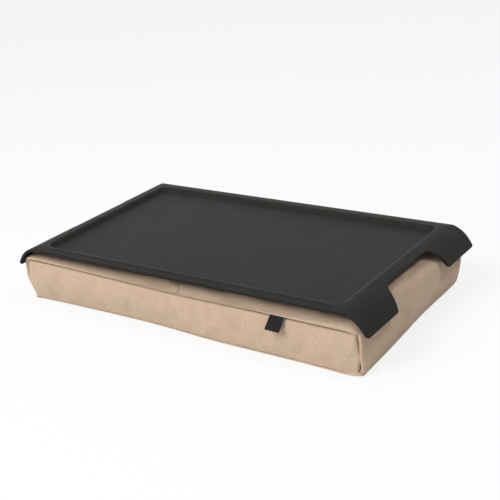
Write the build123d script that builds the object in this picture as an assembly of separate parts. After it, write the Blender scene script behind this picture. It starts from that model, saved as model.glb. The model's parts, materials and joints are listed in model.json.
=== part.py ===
from build123d import *
import math
import os

# Lap tray on a bead-filled cushion, in millimetres, with +Z up.
# The origin lies on the surface under the cushion, midway between the tray's ends and edges.
# X runs along the tray, and -Y is the long side with the label.

# Tray sheet
tray_length = 433.0
tray_depth = 232.0
tray_thickness = 3.0
flap_height = 23.0
flap_bend_radius = 33.0
flap_bend_angle = 60.0
flap_tip_corner_radius = 3.2
tray_edge_radius = 1.2

# Rim and recess of the tray
rim_end_land = 0.8
rim_side_width = 11.6
lip_width = 9.0
lip_drop = 1.5
lip_blend_radius = 24.0
recess_depth = 5.5
recess_wall_angle = 45.0
recess_corner_radius = 11.0
recess_crest_radius = 2.4
recess_toe_radius = 4.2

# Grip notch in each down-turned end, measured along the slope of the end
notch_mouth_width = 113.5
notch_inner_width = 92.0
notch_reach = 28.2
notch_corner_radius = 13.5
notch_cut_angle = 45.0

# Cushion
tip_height = 42.8
seam_height = 45.0
cushion_end_margin = 8.0
cushion_side_margin = 4.5
cushion_shift = -3.3
cushion_corner_radius = 6.0
base_seam_height = 4.5
cushion_seam_pinch = 2.0
end_taper = 6.5
side_taper = 3.0
end_draw = 6.0
side_draw = 1.6
crown_roll = 13.0
crown_corner_growth = 8.0
cover_thickness = 1.0

# Hook and loop tapes
hook_tape_width = 20.0
hook_tape_end_margin = 75.0
hook_tape_side_margin = 30.0
hook_tape_thickness = 1.2
loop_tape_thickness = 1.2
tape_corner_radius = 2.0
loop_tape_margin = 1.0

# Filling
liner_side_gap = 5.2
liner_thickness = 0.6
bead_gap = 0.3
liner_corner_radius = 9.0

# Zip in the back panel
zip_end_margin = 43.0
zip_centre_height = 27.0
zip_opening_width = 13.0
zip_tape_thickness = 0.8
zip_tape_setback = 0.9
zip_slit = 1.0
coil_height = 1.6
coil_width = 2.2
coil_rail_width = 0.8
coil_pitch = 3.0
coil_tooth_length = 1.6
coil_end_margin = 9.0
stop_length = 3.0
slider_length = 9.0
slider_width = 7.0
slider_plate_thickness = 1.2
slider_gap = 0.3
slider_web_thickness = 0.5
slider_corner_radius = 2.0
bail_pin_radius = 0.6
bail_pin_clearance = 0.06
bail_wall = 0.9
bail_height = 3.6
bail_ear_thickness = 0.8
bail_side_gap = 0.2
pull_length = 21.0
pull_width = 5.0
pull_thickness = 1.2
pull_hole_radius = 1.3
pull_corner_radius = 1.6

# Folded ribbon label in the front seam
label_width = 15.5
label_reach = 16.0
label_ribbon_thickness = 0.4
label_fold_gap = 0.5
label_lean = 42.0
label_end_distance = 88.5
label_seam_gap = 0.3

# Cuts reach this far past what they cut
cut_overrun = 5.0

# Shares of the cushion's side, from the surface up to the top seam:
# height, end taper, side taper, pull-in at the seam, and draw between the corners
side_level_shares = (
    (0.00, 1.00, 1.00, 0.00, 1.00),
    (0.10, 0.45, 0.36, 0.00, 0.86),
    (0.32, 0.14, 0.10, 0.00, 0.40),
    (0.62, 0.00, 0.00, 0.00, 0.06),
    (0.88, 0.00, 0.00, 0.45, 0.06),
    (1.00, 0.00, 0.00, 1.00, 0.06),
)
# Shares of the crown above the top seam: height, and roll in from the seam
crown_level_shares = ((0.00, 0.00), (0.40, 0.10), (0.74, 0.32), (0.94, 0.66), (1.00, 1.00))

# Heights and places that follow from the sizes above
crest_height = tip_height + flap_height
bend_angle = math.radians(flap_bend_angle)
bend_centre_height = crest_height - flap_bend_radius
bend_end_height = bend_centre_height + flap_bend_radius * math.cos(bend_angle)
tail_run = (bend_end_height - tip_height) / math.tan(bend_angle)
bend_start = tray_length / 2 - tail_run - flap_bend_radius * math.sin(bend_angle)
recess_length = 2 * (bend_start - rim_end_land)
recess_width = tray_depth - 2 * rim_side_width
wall_angle = math.radians(recess_wall_angle)
wall_spread = tray_thickness / math.sin(wall_angle)
tub_depth = recess_depth + tray_thickness
tub_underside = crest_height - tub_depth
cushion_top = tub_underside - hook_tape_thickness - loop_tape_thickness
crown_height = cushion_top - seam_height
cushion_length = tray_length - 2 * cushion_end_margin
cushion_depth = tray_depth - 2 * cushion_side_margin
hook_tape_length = tray_length - 2 * hook_tape_end_margin
hook_tape_offset = tray_depth / 2 - hook_tape_side_margin - hook_tape_width / 2
zip_length = cushion_length - 2 * zip_end_margin
tooth_count = int((zip_length - 2 * coil_end_margin) / coil_pitch)
coil_length = tooth_count * coil_pitch
label_centre = cushion_shift + cushion_length / 2 - label_end_distance

os.makedirs("parts", exist_ok=True)


def save(shape, name):
    shape.label = name
    export_step(shape, os.path.join("parts", name + ".step"))


def rounded_plate(length, width, thickness, radius):
    """A plate lying on the XY plane, centred on the origin, with rounded corners."""
    return extrude(RectangleRounded(length, width, radius), thickness)


def end_profile(inset, below):
    """Section of the tray along its length, moved in by inset and carried down past the tips."""
    radius = flap_bend_radius - inset
    bend_end = (
        bend_start + radius * math.sin(bend_angle),
        bend_centre_height + radius * math.cos(bend_angle),
    )
    bend_middle = (
        bend_start + radius * math.sin(bend_angle / 2),
        bend_centre_height + radius * math.cos(bend_angle / 2),
    )
    foot_height = tip_height - below
    foot = (bend_end[0] + (bend_end[1] - foot_height) / math.tan(bend_angle), foot_height)
    top = (bend_start, crest_height - inset)

    def mirrored(point):
        return (-point[0], point[1])

    edges = [
        Line(mirrored(foot), mirrored(bend_end)),
        ThreePointArc(mirrored(bend_end), mirrored(bend_middle), mirrored(top)),
        Line(mirrored(top), top),
        ThreePointArc(top, bend_middle, bend_end),
        Line(bend_end, foot),
        Line(foot, mirrored(foot)),
    ]
    return Plane.XZ * make_face(edges)


def side_profile(inset, beyond):
    """Section of the tray across its depth, with a lip that slopes down along each long edge."""
    edge = tray_depth / 2 + beyond
    lip_start = tray_depth / 2 - lip_width
    edge_height = crest_height - inset - lip_drop * (lip_width + beyond) / lip_width
    foot_height = tip_height - beyond
    points = [
        (-edge, foot_height),
        (-edge, edge_height),
        (-lip_start, crest_height - inset),
        (lip_start, crest_height - inset),
        (edge, edge_height),
        (edge, foot_height),
    ]
    face = make_face(Polyline(*points, close=True))
    lip_corners = [v for v in face.vertices() if abs(abs(v.X) - lip_start) < tray_edge_radius / 2]
    return Plane.YZ * fillet(lip_corners, lip_blend_radius)


def recess_block(spread, depth):
    """The recess as a block that narrows downwards from the rim's crest."""
    outline = RectangleRounded(
        recess_length + 2 * spread,
        recess_width + 2 * spread,
        recess_corner_radius + spread,
    )
    return Pos(0, 0, crest_height) * extrude(outline, depth, dir=(0, 0, -1), taper=90 - recess_wall_angle)


def notch_cutter():
    """The grip notch of the +X end, cut square to the middle of the bend."""
    tilt = math.radians(notch_cut_angle)
    plane = Plane(
        origin=(tray_length / 2, 0, tip_height),
        x_dir=(0, 1, 0),
        z_dir=(math.sin(tilt), 0, math.cos(tilt)),
    )
    flare = (notch_mouth_width - notch_inner_width) / 2 / notch_reach
    mouth = notch_mouth_width / 2 + flare * cut_overrun
    inner = notch_inner_width / 2
    outline = make_face(
        Polyline(
            (-mouth, -cut_overrun),
            (-inner, notch_reach),
            (inner, notch_reach),
            (mouth, -cut_overrun),
            close=True,
        )
    )
    corners = outline.vertices().sort_by(Axis.Y)[-2:]
    return extrude(plane * fillet(corners, notch_corner_radius), flap_height, both=True)


def recess_edges(sheet, height):
    """The closed chain of recess edges that lies at a height."""
    reach_x = recess_length / 2 + rim_end_land / 2
    reach_y = recess_width / 2 + rim_end_land / 2
    return [
        e for e in sheet.edges()
        if abs(e.center().Z - height) < tray_edge_radius / 2
        and abs((e @ 0).Z - (e @ 1).Z) < tray_edge_radius / 2
        and abs(e.center().X) < reach_x and abs(e.center().Y) < reach_y
    ]


def upper_face_height(x, y):
    """Height of the tray's upper face, recess apart, above a place in plan."""
    from_lip = max(0, abs(y) - tray_depth / 2 + lip_width)
    lip_height = crest_height - lip_drop * from_lip / lip_width
    reach = abs(x) - bend_start
    if reach < 0:
        end_height = crest_height
    elif reach < flap_bend_radius * math.sin(bend_angle):
        end_height = bend_centre_height + math.sqrt(flap_bend_radius ** 2 - reach ** 2)
    else:
        end_height = tip_height + (tray_length / 2 - abs(x)) * math.tan(bend_angle)
    return min(lip_height, end_height)


def long_side_edges(sheet):
    """The upper edges of the sheet's two long sides, from one end's tips to the other's."""
    chosen = []
    for edge in sheet.edges():
        points = [edge.position_at(share) for share in (0, 0.5, 1)]
        on_side = all(abs(abs(p.Y) - tray_depth / 2) < tray_edge_radius / 4 for p in points)
        on_top = all(abs(p.Z - upper_face_height(p.X, p.Y)) < tray_edge_radius / 4 for p in points)
        if on_side and on_top:
            chosen.append(edge)
    return chosen


def tray_board():
    outer = extrude(end_profile(0, 0), tray_depth / 2, both=True)
    outer &= extrude(side_profile(0, 0), tray_length / 2, both=True)
    inner = extrude(end_profile(tray_thickness, cut_overrun), tray_depth / 2 + cut_overrun, both=True)
    inner &= extrude(side_profile(tray_thickness, cut_overrun), tray_length / 2, both=True)
    sheet = outer - inner
    notch = notch_cutter()
    sheet = sheet - notch - mirror(notch, Plane.YZ)
    tip_corners = [
        e for e in sheet.edges()
        if abs(e.center().Z - tip_height) < tray_edge_radius / 2 and e.length < 2 * tray_thickness
    ]
    sheet = fillet(tip_corners, flap_tip_corner_radius)
    sheet += recess_block(wall_spread, tub_depth)
    sheet -= recess_block(0, recess_depth)
    crest = recess_edges(sheet, crest_height)
    sheet = fillet(crest, recess_crest_radius)
    toe = recess_edges(sheet, crest_height - recess_depth)
    sheet = fillet(toe, recess_toe_radius)
    # The long sides run smoothly into the tips and notches, so this rounds the whole outer edge.
    return fillet(long_side_edges(sheet), tray_edge_radius)


def tape(thickness, margin, side):
    """One strip of hook or loop tape, lying with its underside on the XY plane."""
    strip = rounded_plate(
        hook_tape_length + 2 * margin,
        hook_tape_width + 2 * margin,
        thickness,
        tape_corner_radius,
    )
    return Pos(0, side * hook_tape_offset, 0) * strip


def cushion_outline(half_length, half_depth, corner, end_sag, side_sag, height):
    """The cushion's outline at a height, each side pulled in by a sag between the corners."""
    round_off = corner * (1 - math.cos(math.pi / 4))
    ax, ay = half_length - corner, half_depth
    bx, by = half_length - round_off, half_depth - round_off
    cx, cy = half_length, half_depth - corner
    edges = [
        ThreePointArc((-ax, -ay), (0, -half_depth + side_sag), (ax, -ay)),
        ThreePointArc((ax, -ay), (bx, -by), (cx, -cy)),
        ThreePointArc((cx, -cy), (half_length - end_sag, 0), (cx, cy)),
        ThreePointArc((cx, cy), (bx, by), (ax, ay)),
        ThreePointArc((ax, ay), (0, half_depth - side_sag), (-ax, ay)),
        ThreePointArc((-ax, ay), (-bx, by), (-cx, cy)),
        ThreePointArc((-cx, cy), (-half_length + end_sag, 0), (-cx, -cy)),
        ThreePointArc((-cx, -cy), (-bx, -by), (-ax, -ay)),
    ]
    return Pos(cushion_shift, 0, height) * make_face(edges)


def cushion_sides(inset, low, corner):
    """The cushion from its underside up to the top seam, moved in by inset."""
    sections = []
    for height, end, side, pinch, draw in side_level_shares:
        sections.append(
            cushion_outline(
                cushion_length / 2 - end_taper * end - cushion_seam_pinch * pinch - inset,
                cushion_depth / 2 - side_taper * side - cushion_seam_pinch * pinch - inset,
                corner,
                end_draw * draw,
                side_draw * draw,
                low + height * (seam_height - low),
            )
        )
    return loft(sections)


def cushion_crown(inset, high, corner):
    """The cushion above the top seam, rolled in to its flat top, moved in by inset."""
    last_draw = side_level_shares[-1][-1]
    sections = []
    for height, roll in crown_level_shares:
        pull_in = cushion_seam_pinch + crown_roll * roll + inset
        sections.append(
            cushion_outline(
                cushion_length / 2 - pull_in,
                cushion_depth / 2 - pull_in,
                corner + crown_corner_growth * roll,
                end_draw * last_draw,
                side_draw * last_draw,
                seam_height + height * (crown_height - high),
            )
        )
    return loft(sections)


def cushion_form(inset, low, high, corner):
    return cushion_sides(inset, low, corner) + cushion_crown(inset, high, corner)


def corner_wedge(quarter_turns):
    """The quarter of the plan that holds one side of the cushion, split from the rest at the corners."""
    along, across = cushion_length / 2, cushion_depth / 2
    if quarter_turns % 2:
        along, across = across, along
    inner = 2 * cushion_corner_radius
    plan = make_face(
        Polyline(
            (-along + inner, -across + inner),
            (-along - cut_overrun, -across - cut_overrun),
            (along + cut_overrun, -across - cut_overrun),
            (along - inner, -across + inner),
            close=True,
        )
    )
    return Pos(cushion_shift, 0, 0) * Rot(0, 0, 90 * quarter_turns) * extrude(plan, crest_height)


def slab(low, high):
    """All of the plan between two heights."""
    on_floor = (Align.CENTER, Align.CENTER, Align.MIN)
    return Pos(0, 0, low) * Box(2 * cushion_length, 2 * cushion_depth, high - low, align=on_floor)


def zip_box(length, low_y, high_y, low_z, high_z):
    """A block along the zip, given by its length, its depths and its heights above the zip's centre."""
    from_corner = (Align.CENTER, Align.MIN, Align.MIN)
    block = Box(length, high_y - low_y, high_z - low_z, align=from_corner)
    return Pos(cushion_shift, low_y, zip_centre_height + low_z) * block


def zip_coil(side):
    """One toothed row of the zip behind its tape. side is 1 above the slit and -1 below."""
    start = -coil_length / 2
    slit_edge = zip_slit / 2
    rail_edge = slit_edge + coil_width - coil_rail_width
    points = [(start, slit_edge + coil_width), (start, rail_edge)]
    for tooth in range(tooth_count):
        left = start + tooth * coil_pitch + (coil_pitch - coil_tooth_length) / 2
        right = left + coil_tooth_length
        points += [(left, rail_edge), (left, slit_edge), (right, slit_edge), (right, rail_edge)]
    points += [(-start, rail_edge), (-start, slit_edge + coil_width)]
    row = Polyline(*[(x, z * side) for x, z in points], close=True)
    plane = Plane(origin=(cushion_shift, coil_back, zip_centre_height), x_dir=(1, 0, 0), z_dir=(0, -1, 0))
    return extrude(plane * make_face(row), -coil_height)


def zip_stops():
    """The two end stops, each across both toothed rows."""
    offset = coil_length / 2 + stop_length / 2
    half_width = zip_slit / 2 + coil_width
    stop = zip_box(stop_length, coil_back, tape_back, -half_width, half_width)
    return Compound([Pos(-offset, 0, 0) * stop, Pos(offset, 0, 0) * stop])


def zip_slider():
    """Front and back plates joined by a web through the slit, with the two ears and pin of the bail."""
    plane = Plane(origin=(slider_rest, slider_front, zip_centre_height), x_dir=(1, 0, 0), z_dir=(0, -1, 0))
    plate = RectangleRounded(slider_length, slider_width, slider_corner_radius)
    front = extrude(plane * plate, -slider_plate_thickness)
    back = Pos(0, slider_back - slider_front - slider_plate_thickness, 0) * front
    from_front = (Align.CENTER, Align.MIN, Align.CENTER)
    web_length = slider_length - 2 * slider_corner_radius
    web = Box(web_length, slider_front - slider_back, slider_web_thickness, align=from_front)
    slider = front + back + Pos(slider_rest, slider_back, zip_centre_height) * web
    for side in (-1, 1):
        ear_height = zip_centre_height + side * (bail_height / 2 + bail_side_gap + bail_ear_thickness / 2)
        ear_reach = pin_depth - slider_front
        ear = Box(2 * eye_radius, ear_reach, bail_ear_thickness, align=from_front)
        slider += Pos(slider_rest, slider_front, ear_height) * ear
        slider += Pos(slider_rest, pin_depth, ear_height) * Cylinder(eye_radius, bail_ear_thickness)
    pin = Cylinder(bail_pin_radius, bail_height + 2 * bail_side_gap + bail_ear_thickness)
    return slider + Pos(slider_rest, pin_depth, zip_centre_height) * pin


def zip_pull():
    """The pull tab, lying along the zip, with the barrel that turns on the slider's pin."""
    barrel = Cylinder(eye_radius, bail_height)
    plane = Plane(origin=(0, pull_thickness / 2, 0), x_dir=(1, 0, 0), z_dir=(0, -1, 0))
    neck = RectangleRounded(pull_length, bail_height, pull_corner_radius)
    tab = RectangleRounded(pull_length - slider_length, pull_width, pull_corner_radius)
    outline = Pos(pull_length / 2, 0) * neck + Pos((pull_length + slider_length) / 2, 0) * tab
    outline -= Pos(pull_length - pull_width / 2, 0) * Circle(pull_hole_radius)
    pull = barrel + extrude(plane * outline, pull_thickness)
    pull -= Cylinder(bail_pin_radius + bail_pin_clearance, bail_height + cut_overrun)
    return Pos(slider_rest, pin_depth, zip_centre_height) * pull


def seam_label():
    """A ribbon folded double, its open end at the seam and its fold standing out from the panel."""
    half = label_ribbon_thickness + label_fold_gap / 2
    straight = label_reach - half
    outer = Rectangle(straight, 2 * half, align=(Align.MIN, Align.CENTER)) + Pos(straight, 0) * Circle(half)
    slot = Rectangle(straight, label_fold_gap, align=(Align.MIN, Align.CENTER))
    slot += Pos(straight, 0) * Circle(label_fold_gap / 2)
    lean = math.radians(label_lean)
    root = -(cushion_depth / 2 - cushion_seam_pinch + label_seam_gap + half)
    plane = Plane(
        origin=(label_centre, root, seam_height),
        x_dir=(0, -math.sin(lean), -math.cos(lean)),
        z_dir=(1, 0, 0),
    )
    return extrude(plane * (outer - slot), label_width / 2, both=True)


# Depths of the zip's layers and of the slider's plates
tape_front = cushion_depth / 2 - zip_tape_setback
tape_back = tape_front - zip_tape_thickness
coil_back = tape_back - coil_height
slider_front = tape_front + slider_gap
slider_back = coil_back - slider_gap
slider_rest = cushion_shift - coil_length / 2 + slider_length
eye_radius = bail_pin_radius + bail_pin_clearance + bail_wall
pin_depth = slider_front + slider_plate_thickness + slider_gap + eye_radius

# The tray and its hook tapes
save(tray_board(), "tray_board")
for name, side in (("front", -1), ("back", 1)):
    hook = tape(hook_tape_thickness, 0, side)
    save(Pos(0, 0, tub_underside - hook_tape_thickness) * hook, "hook_tape_" + name)
    loop = tape(loop_tape_thickness, loop_tape_margin, side)
    save(Pos(0, 0, cushion_top) * loop, "loop_tape_" + name)

# The cover: a front and a back panel let into one wrap that runs round the top, ends and underside
side_shell = cushion_sides(0, 0, cushion_corner_radius)
side_shell -= cushion_sides(cover_thickness, cover_thickness, cushion_corner_radius - cover_thickness)
crown_shell = cushion_crown(0, 0, cushion_corner_radius)
crown_shell -= cushion_crown(cover_thickness, cover_thickness, cushion_corner_radius - cover_thickness)
panel_band = slab(base_seam_height, seam_height)
front_block = panel_band & corner_wedge(0)
back_block = panel_band & corner_wedge(2)
save(side_shell + crown_shell - front_block - back_block, "cover_wrap")
save(side_shell & front_block, "cover_front_panel")
zip_opening = zip_box(
    zip_length,
    coil_back,
    cushion_depth / 2 + cut_overrun,
    -zip_opening_width / 2,
    zip_opening_width / 2,
)
save((side_shell & back_block) - zip_opening, "cover_back_panel")
save(seam_label(), "seam_label")

# The filling
inner_inset = liner_side_gap + liner_thickness
inner_margin = cover_thickness + liner_thickness
liner = cushion_form(liner_side_gap, cover_thickness, cover_thickness, liner_corner_radius)
liner -= cushion_form(inner_inset, inner_margin, inner_margin, liner_corner_radius - liner_thickness)
save(liner, "inner_liner")
beads = cushion_form(
    inner_inset + bead_gap,
    inner_margin,
    inner_margin,
    liner_corner_radius - liner_thickness - bead_gap,
)
save(beads, "bead_fill")

# The zip
half_opening = zip_opening_width / 2
save(zip_box(zip_length, tape_back, tape_front, zip_slit / 2, half_opening), "zip_tape_upper")
save(zip_box(zip_length, tape_back, tape_front, -half_opening, -zip_slit / 2), "zip_tape_lower")
save(zip_coil(1), "zip_coil_upper")
save(zip_coil(-1), "zip_coil_lower")
save(zip_stops(), "zip_stops")
save(zip_slider(), "zip_slider")
save(zip_pull(), "zip_pull")
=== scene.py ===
import json
import math

import bmesh
import bpy
import numpy as np
from mathutils import Matrix, Vector, kdtree


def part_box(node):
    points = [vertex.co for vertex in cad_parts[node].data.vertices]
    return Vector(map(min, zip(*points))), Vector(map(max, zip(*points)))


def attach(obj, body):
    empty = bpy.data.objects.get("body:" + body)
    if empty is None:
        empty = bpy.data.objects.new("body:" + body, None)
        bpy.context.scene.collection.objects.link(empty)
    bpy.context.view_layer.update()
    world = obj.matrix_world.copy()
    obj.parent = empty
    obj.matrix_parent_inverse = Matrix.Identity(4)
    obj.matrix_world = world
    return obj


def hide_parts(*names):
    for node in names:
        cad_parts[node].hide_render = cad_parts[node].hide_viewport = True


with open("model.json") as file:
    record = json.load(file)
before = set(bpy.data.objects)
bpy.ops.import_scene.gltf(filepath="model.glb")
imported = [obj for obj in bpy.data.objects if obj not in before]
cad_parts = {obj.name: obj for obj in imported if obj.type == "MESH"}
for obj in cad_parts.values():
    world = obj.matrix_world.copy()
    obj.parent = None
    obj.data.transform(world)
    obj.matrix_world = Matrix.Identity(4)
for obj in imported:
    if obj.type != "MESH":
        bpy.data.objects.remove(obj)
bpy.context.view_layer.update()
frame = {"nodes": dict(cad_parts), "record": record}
NODES = frame["nodes"]
SLOTS = {part["node"]: part["material_slot"] for part in frame["record"]["subparts"]}

# The looks of a lap tray on a cushion. Sizes are in millimetres where no comment says otherwise.
MM = 0.001

# Camera, measured from the photograph, in metres
CAMERA_PLACE = Vector((0.61505, -0.83699, 0.46919))
CAMERA_RIGHT = Vector((0.828213, 0.554351, -0.082207))
CAMERA_UP = Vector((-0.146298, 0.355473, 0.923166))
CAMERA_LENS = 75.607
CAMERA_SENSOR = 36.0

# Lamps: place and size in metres, and power in watts. Both face a point just above the floor.
LAMP_TARGET = (0, 0, 0.03)
KEY_LAMP = ((-0.6, -1.7, 1.85), 1.4, 44.5)
SIDE_LAMP = ((1.1, 0.1, 1.9), 0.5, 12)
# How the sky's light changes along two axes: where the change starts and ends, and its levels there
SKY_UPWARD = ("Z", 0.0, 0.8, 0.52, 0.62)
SKY_SIDEWAYS = ("X", -0.3, 0.4, 1.0, 0.3)
# Floor: half its side and how far it lies below the object, in metres, its colour and the share of
# white that it shows to the eye
FLOOR_REACH = 10.0
FLOOR_DROP = 0.0004
FLOOR_COLOUR = (0.86, 0.86, 0.86, 1)
FLOOR_WHITENESS = 0.8

# Cushion. Its sides run front, right, back, left, and side k starts at corner k.
FRONT, RIGHT, BACK, LEFT = range(4)
CORNERS = np.array([(-213.6, -111.6), (204.8, -111.6), (204.6, 111.6), (-213.4, 111.6)])
LENGTH = float(CORNERS[1][0] - CORNERS[0][0])
DEPTH = float(CORNERS[2][1] - CORNERS[1][1])
HEIGHT = 43.0
MIDDLE = -4.0
TOP_LEVEL = 54.9
COVER_THICKNESS = 0.9
# How far the cloth stays clear of the floor, before and after it gets its thickness
FORM_CLEARANCE = 0.05
CLOTH_CLEARANCE = 0.02

# Height at which each side passes into the top, from its first corner to its last
TOP_EDGE = (
    (
        (0, 0.006, 0.014, 0.17, 0.35, 0.50, 0.72, 0.90, 1),
        (46.0, 47.9, 48.6, 47.5, 45.2, 44.0, 43.4, 42.4, 42.2),
    ),
    ((0, 0.05, 0.2, 0.5, 0.8, 1), (42.2, 42.4, 43.0, 43.5, 43.6, 44.0)),
    ((0, 0.2, 0.5, 0.8, 1), (44.0, 45.0, 45.3, 45.0, 44.5)),
    ((0, 0.04, 0.5, 0.96, 1), (44.5, 42.6, 42.4, 42.4, 46.0)),
)
# Height at which each side passes into the base
BASE_EDGE = (
    ((0, 0.2, 0.8, 0.965, 1), (1.6, 1.4, 1.0, 1.3, 4.0)),
    ((0, 0.012, 0.03, 0.2, 0.6, 1), (4.0, 1.4, 1.0, 1.3, 2.0, 2.6)),
    ((0, 0.1, 0.5, 0.9, 1), (2.6, 2.2, 2.2, 2.2, 2.4)),
    ((0, 0.1, 0.5, 0.9, 1), (2.4, 2.2, 2.0, 1.8, 1.6)),
)
# Radius of the rounding between each side and the base
BASE_ROUNDING = (
    ((0, 0.08, 0.35, 0.5, 0.56, 0.8, 0.95, 1), (2, 3.5, 5, 4.5, 4, 3.5, 2.5, 1.5)),
    ((0, 0.28, 0.45, 0.62, 0.75, 0.9, 1), (1.2, 3, 5, 7, 7.5, 8, 9)),
    ((0, 0.5, 1), (9, 9, 9)),
    ((0, 0.5, 1), (9, 7, 2)),
)
# How far each side tucks in towards its foot, below TUCK_HEIGHT
BASE_TUCK = (
    ((0, 0.1, 0.35, 0.5, 0.56, 0.7, 0.85, 0.93, 1), (5.6, 6.5, 6.5, 4, 2.4, 1.2, 1, 0.3, 0)),
    ((0, 0.28, 0.45, 0.62, 0.75, 0.9, 1), (0, 0.3, 1, 2, 2.4, 2.6, 3)),
    ((0, 0.5, 1), (3, 3, 5)),
    ((0, 0.5, 0.85, 1), (5, 6, 6.0, 5.5)),
)
TUCK_HEIGHT = 28.0
TUCK_POWER = 1.1
# How far each side leans out at half height, and how far it is drawn in between its corners
SIDE_FULLNESS = (0.2, 0.2, 0.4, 0.4)
FULLNESS_POWER = 0.4
SIDE_DRAW = (0.6, 1.2, 1.0, 1.2)
DRAW_AT_HALF_HEIGHT = 0.35
# How quickly a side's own form takes over beside its corners, and a gape beside the ends of its seam
SIDE_EASE = 24
GAPE_EASE = 16
# Plan radius of each corner at heights as shares of the edge's height
CORNER_ROUNDING = (
    ((0, 0.3, 0.55, 0.8, 1), (2.5, 3.0, 4.5, 7.0, 7.5)),
    ((0, 0.1, 0.3, 0.6, 1), (4.0, 4.5, 4.5, 4.5, 5.2)),
    ((0, 0.3, 0.55, 0.8, 1), (9.0, 7.0, 6.0, 5.0, 5.0)),
    ((0, 0.3, 0.55, 0.8, 1), (9.0, 8.0, 6.0, 5.0, 5.0)),
)
# Angle round each corner at which its seam lies, seen from the side that ends there, in degrees
CORNER_SEAM_ANGLE = (
    ((0, 0.3, 0.55, 0.75, 1), (40, 42, 58, 80, 84)),
    ((0, 0.1, 0.3, 0.6, 0.85, 1), (4, 18, 32, 36, 22, 4)),
    ((0, 0.5, 1), (70, 70, 70)),
    ((0, 0.5, 1), (20, 20, 20)),
)

# Seams: how deep they lie, and how those at the corners gape. Each gape has its place as a share of the
# corner's height, its spread as a share too, and how much deeper the seam lies there.
SEAM_DEPTH = 2.6
BASE_SEAM_DEPTH = 0.25
CORNER_GAPES = (
    ((0.72, 0.26, 2.6),),
    ((0.84, 0.1, 1.5), (0.36, 0.28, -2.0), (0.08, 0.05, 0.3)),
    ((0.8, 0.12, 0.8),),
    ((0.8, 0.12, 0.8),),
)
# How the cloth beside a seam curves down to it
DIP_POWER = 1.3
PANEL_DIP_REACH = 1.15
PANEL_HOLLOW = 0.5
PANEL_HOLLOW_REACH = 6.0
WRAP_DIP_REACH = 0.95
WRAP_EDGE_REACH = 0.9
# The soft roll of the wrap beside a corner's seam, and where it fades out
WRAP_ROLL_HEIGHT = 0.8
WRAP_ROLL_PLACE = 2.0
WRAP_ROLL_SPREAD = 1.5
WRAP_ROLL_END = 6.0
WRAP_ROLL_FADE = 2.0
# Seam allowance of the panels, which runs on under the wrap
ALLOWANCE_RUN = 1.2
ALLOWANCE_DEPTH = 0.7

# Top: how wide it rolls up from its seams and its ends, and the power of the curve at either end
TOP_ROLL = 11.0
END_ROLL = 16.0
RIGHT_END_POWER = 2.2
LEFT_END_POWER = 1.9
# How wide the two rolls blend, how round the corners between them are, and how full the roll stands
ROLL_BLEND = 12.0
CORNER_SOFTNESS = 14.0
TOP_FULLNESS = 0.8
# Dents of the top, which is pressed flat under the tray and stands a little higher beside it
TOP_DENT = 0.9
TOP_DENT_SPAN = 50.0
FREE_RISE = 1.2
PRESSED_DENT_SHARE = 0.2
PRESSED_HALF = (170.0, 96.0)
PRESSED_FADE = (10.0, 8.0)
# How far from the seam, and from the ends, the top's edge is still shaped by the seam
EDGE_FADE = 16.0
END_FADE = 4.0

# Base: the roll along its edges, its ripple, and the bulge below the front right corner
BASE_ROLL = 7.0
BASE_ROLL_POWER = 1.8
BASE_RIPPLE = 0.12
BASE_RIPPLE_SPAN = 40.0
BASE_RIPPLE_FADE = 20.0
FOOT_BULGE = 1.2
FOOT_BULGE_SPREAD = 17.0
FOOT_BULGE_REACH = 9.0
FOOT_ROLL_LOSS = 5.0

# Dents in the sides: height, and span in plan and upward. They fade out near the seams.
COARSE_DENTS = (0.4, 55, 30)
FINE_DENTS = (0.15, 18, 15)
DENT_FADE = 10
# Soft folds in the front panel: two ends as x and z, half width and height
FRONT_FOLDS = (
    (-184, 23, -166, 10, 5.0, 0.45),
    (-139, 16, -128, 8, 2.4, 0.65),
    (3, 15, 12, 5, 3.6, -0.8),
    (10, 20, 17, 8, 3.4, 0.6),
    (-60, 38, -44, 20, 8.0, 0.45),
    (150, 36, 166, 16, 9.0, 0.5),
)
# The same for the right end, with y in place of x
RIGHT_FOLDS = (
    (-106, 9, -80, 8, 2.4, 0.9),
    (-100, 15, -90, 15, 4.0, -0.6),
    (-92, 21, -66, 24, 4.5, 0.7),
    (-50, 9, -20, 14, 7.0, 0.5),
)
# A sharp crease across the strip in front of the tray, with the extra columns of points that it needs
CREASE_X = -1.0
CREASE_DEPTH = 2.2
CREASE_WIDTH = 0.7
CREASE_BEND = 0.035
CREASE_SLANT = 0.7
CREASE_START = 1.5
CREASE_COLUMNS = (-2.0, -1.0, -0.4, 0.2, 0.8, 1.6, 2.4, 3.4)

# Opening for the zip in the back panel, and how its edge is drawn in
ZIP_TAPES = [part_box(name) for name in ("zip_tape_lower", "zip_tape_upper")]
ZIP_LOW = ZIP_TAPES[0][0] / MM
ZIP_HIGH = ZIP_TAPES[1][1] / MM
ZIP_HEM = 0.9
ZIP_HEM_REACH = 2.2
ZIP_CALM = 12
# Foot and top of the back panel by the zip, its inset at the corners, and extra rows beside the opening
BACK_FOOT = 2.2
BACK_TOP = 45.1
BACK_INSET = 1
ZIP_ROWS = (0.02, 0.05)

# Mesh of the sides and of the top: places beside each border, and steps between those
BORDER_PLACES = (0, 0.6, 1.3, 2.3, 3.8, 6.0, 9.0)
COLUMN_STEP = 5.0
ROW_STEP = 4.0
SAME_PLACE = 0.5
WELD_DISTANCE = 0.01

# Cloth: how far it may move, its mesh size and the frames that it swells for
SWELL_LIMIT = 2.6
CLOTH_STEP = 6.0
CLOTH_FRAMES = 20
# Where it is held: under the tray, at its foot and beside the zip
HELD_BELOW_TOP = 2
HELD_HALF = (188, 98)
HELD_FOOT = 2.6
HELD_BACK = 100
ZIP_MARGIN = (6, 7)

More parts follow.
